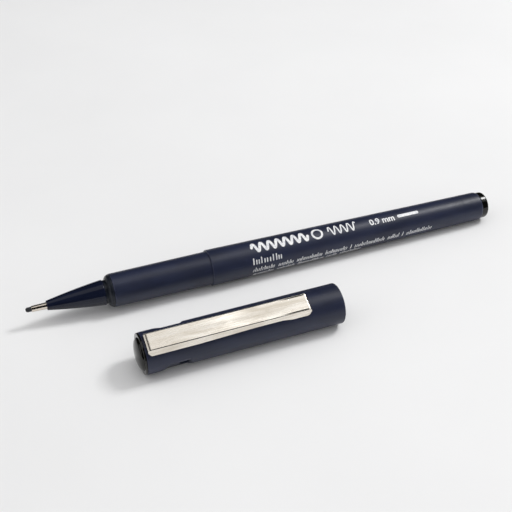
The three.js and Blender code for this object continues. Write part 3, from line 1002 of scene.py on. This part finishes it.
def make_clip():
    waist = CLIP_REST + CLIP_WAIST
    end_top = CAP_RADIUS + CLIP_END_DROP + SHEET
    slope = CLIP_TOP - end_top
    tops = [
        (CLIP_ROOT, end_top),
        (CLIP_ROOT + slope, CLIP_TOP, 0.3),
        (CLIP_TIP - slope, CLIP_TOP, 0.3),
        (CLIP_TIP, end_top),
    ]
    end_bottom = end_top - SHEET - 0.05
    feet = [
        (CLIP_ROOT, end_bottom),
        (CLIP_ROOT + slope, CLIP_REST + 0.3, 0.1),
        (CLIP_ROOT + slope + 0.4, CLIP_REST, 0.3),
        (CLIP_ROOT + 12, CLIP_REST, 20),
        (CLIP_ROOT + 26, waist, 20),
        (CLIP_TIP - 7.5, waist, 2.5),
        (CLIP_TIP - 5, CLIP_REST, 2.5),
        (CLIP_TIP - slope - 0.6, CLIP_REST, 0.3),
        (CLIP_TIP - slope, CLIP_REST + 0.3, 0.1),
        (CLIP_TIP, end_bottom),
    ]
    near_end = np.concatenate([np.linspace(0, 1.6, 22), np.linspace(1.8, 3, 5)])
    along = np.linspace(CLIP_ROOT + 4, CLIP_TIP - 9, 34)
    foot_bend = np.linspace(CLIP_TIP - 8.4, CLIP_TIP - 3.4, 14)
    stations = np.concatenate([CLIP_ROOT + near_end, along, foot_bend, (CLIP_TIP - near_end)[::-1]])
    verts, faces = [], []
    for station, top, foot in zip(stations, path_heights(tops, stations), path_heights(feet, stations)):
        half = clip_half_section(top, foot, station)
        row = [(-p.x, p.y) for p in half[:0:-1]] + [(p.x, p.y) for p in half]
        verts += [(station, side, height) for side, height in row]
    width = len(row)
    for a in range(len(stations) - 1):
        for k in range(width - 1):
            i = a * width + k
            faces.append((i, i + 1, i + 1 + width, i + width))
    matrix = CAP @ Matrix.Rotation(CAP_ROLL, 4, "X")
    clip = finish_mesh("clip_sheet", verts, faces, CLIP_STEEL, matrix)
    if clip.data.polygons[len(faces) // 2].normal.z < 0:
        clip.data.flip_normals()
    sheet = clip.modifiers.new("sheet", "SOLIDIFY")
    sheet.thickness = SHEET * MM
    sheet.offset = -1
    sheet.use_even_offset = True
    soft = clip.modifiers.new("edges", "BEVEL")
    soft.width = 0.07 * MM
    soft.segments = 3
    soft.angle_limit = math.radians(50)
    apply_modifiers(clip)
    low = (CLIP_ROOT + TAB["inset"], -TAB["half_width"], TAB["bottom"])
    high = (CLIP_ROOT + TAB["inset"] + SHEET, TAB["half_width"], CLIP_TOP - SHEET * 0.75)
    tab = rounded_box(low, high, 0.06, matrix)
    bm = bmesh.new()
    bm.from_mesh(clip.data)
    bm.from_mesh(tab.data)
    bm.to_mesh(clip.data)
    bm.free()
    bpy.data.objects.remove(tab)
    mark_creases(clip)
    mark_edges(clip)
    smooth(clip.data, 34)
    install(clip, "clip", "clip_steel", "clip")


def mark_creases(piece):
    """Marks the creases in the clip's upper face, where the steel is darkened as painted shade."""
    marks = []
    for v in piece.data.vertices:
        station, side, height = v.co / MM
        beside = math.exp(-(((abs(side) - CREASE["side"]) / CREASE["width"]) ** 2)) * fold_crease(station)
        across = root_crease(station) * (abs(side) < CREASE["side"] + 0.1)
        marks.append(max(beside, across) if height > CLIP_TOP - SHEET * 0.7 else 0.0)
    layer = piece.data.attributes.new("crease", "FLOAT", "POINT")
    layer.data.foreach_set("value", marks)


def mark_edges(piece):
    """Marks the narrow bevel faces as worn edges."""
    mesh = piece.data
    marks = np.zeros(len(mesh.vertices), dtype=np.float32)
    for face in mesh.polygons:
        sides = [(mesh.vertices[a].co - mesh.vertices[b].co).length for a, b in face.edge_keys]
        if min(sides) < 0.05 * MM:
            for index in face.vertices:
                marks[index] = 1.0
    layer = mesh.attributes.new("wear", "FLOAT", "POINT")
    layer.data.foreach_set("value", marks)


make_barrel()
make_nose()
make_collar()
make_sleeve()
make_nib()
make_end_plug()
make_line_samples()
make_size_mark()
make_tick_rows()
make_cap_shell()
make_inner_cap()
make_end_button()
make_clip()


# --- Hidden CAD pieces that stay as they are ---

def dress(node, material):
    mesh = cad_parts[node].data
    mesh.materials.clear()
    mesh.materials.append(material)


dress("nib_holder", WHITE_PLASTIC)
dress("reservoir_core", INK_FIBRE)
dress("reservoir_film", CLEAR_FILM)


# --- Stage and light ---

# These lengths are metres.
FLOOR_HALF = 3.0
FLOOR_DROP = 0.00002
WORLD_STRENGTH = 0.38


def make_floor():
    bm = bmesh.new()
    bmesh.ops.create_grid(bm, x_segments=24, y_segments=24, size=FLOOR_HALF)
    mesh = bpy.data.meshes.new("floor")
    bm.to_mesh(mesh)
    bm.free()
    floor = bpy.data.objects.new("floor", mesh)
    bpy.context.collection.objects.link(floor)
    floor.location = (0, 0, CAD_BOX[0][2] - FLOOR_DROP)
    f = Finish("floor_paper", IOR=1.4)
    tone = f.noise(9, detail=6)
    colour = f.blend(f.span(tone, 0.3, 0.7), rgb(0xE9E9E9), rgb(0xEEEEEE))
    rough = f.span(f.noise(60, detail=3), 0.3, 0.7, 0.82, 0.92)
    grain = f.bump(f.noise(1800, detail=3), 0.00001)
    mesh.materials.append(f.use(Base_Color=colour, Roughness=rough, Normal=grain))


def make_softbox(name, direction, distance, width, depth, radiance, mirrored=True):
    """An area light in a direction from the pair, facing it. An unmirrored one isn't seen in reflections."""
    data = bpy.data.lights.new(name, "AREA")
    data.shape = "RECTANGLE"
    data.size = width
    data.size_y = depth
    data.energy = radiance * math.pi * width * depth
    lamp = bpy.data.objects.new(name, data)
    bpy.context.collection.objects.link(lamp)
    lamp.visible_glossy = mirrored
    away = Vector(direction).normalized()
    lamp.location = away * distance
    lamp.rotation_euler = away.to_track_quat("Z", "Y").to_euler()


def make_world():
    """An even, pale studio dome that lights the scene but isn't reflected."""
    world = bpy.data.worlds.new("studio")
    bpy.context.scene.world = world
    world.use_nodes = True
    back = world.node_tree.nodes["Background"]
    back.inputs["Color"].default_value = (0.9, 0.9, 0.91, 1)
    back.inputs["Strength"].default_value = WORLD_STRENGTH
    world.cycles_visibility.glossy = False


make_floor()
make_world()
make_softbox("top", (0.52, -0.04, 1.0), 1.15, 0.85, 1.1, 1.0)
make_softbox("key", (0.68, 0.03, 0.78), 1.05, 0.24, 0.24, 26.0)
make_softbox("left", (-0.36, 0.05, 1.0), 1.3, 0.95, 1.2, 0.6)
make_softbox("side", (-1.0, 0.0, 0.42), 1.3, 1.3, 0.7, 0.8)
make_softbox("fill", (-0.05, -0.7, 0.75), 1.7, 2.0, 1.6, 0.5, mirrored=False)
bpy.context.scene.view_settings.view_transform = "Standard"
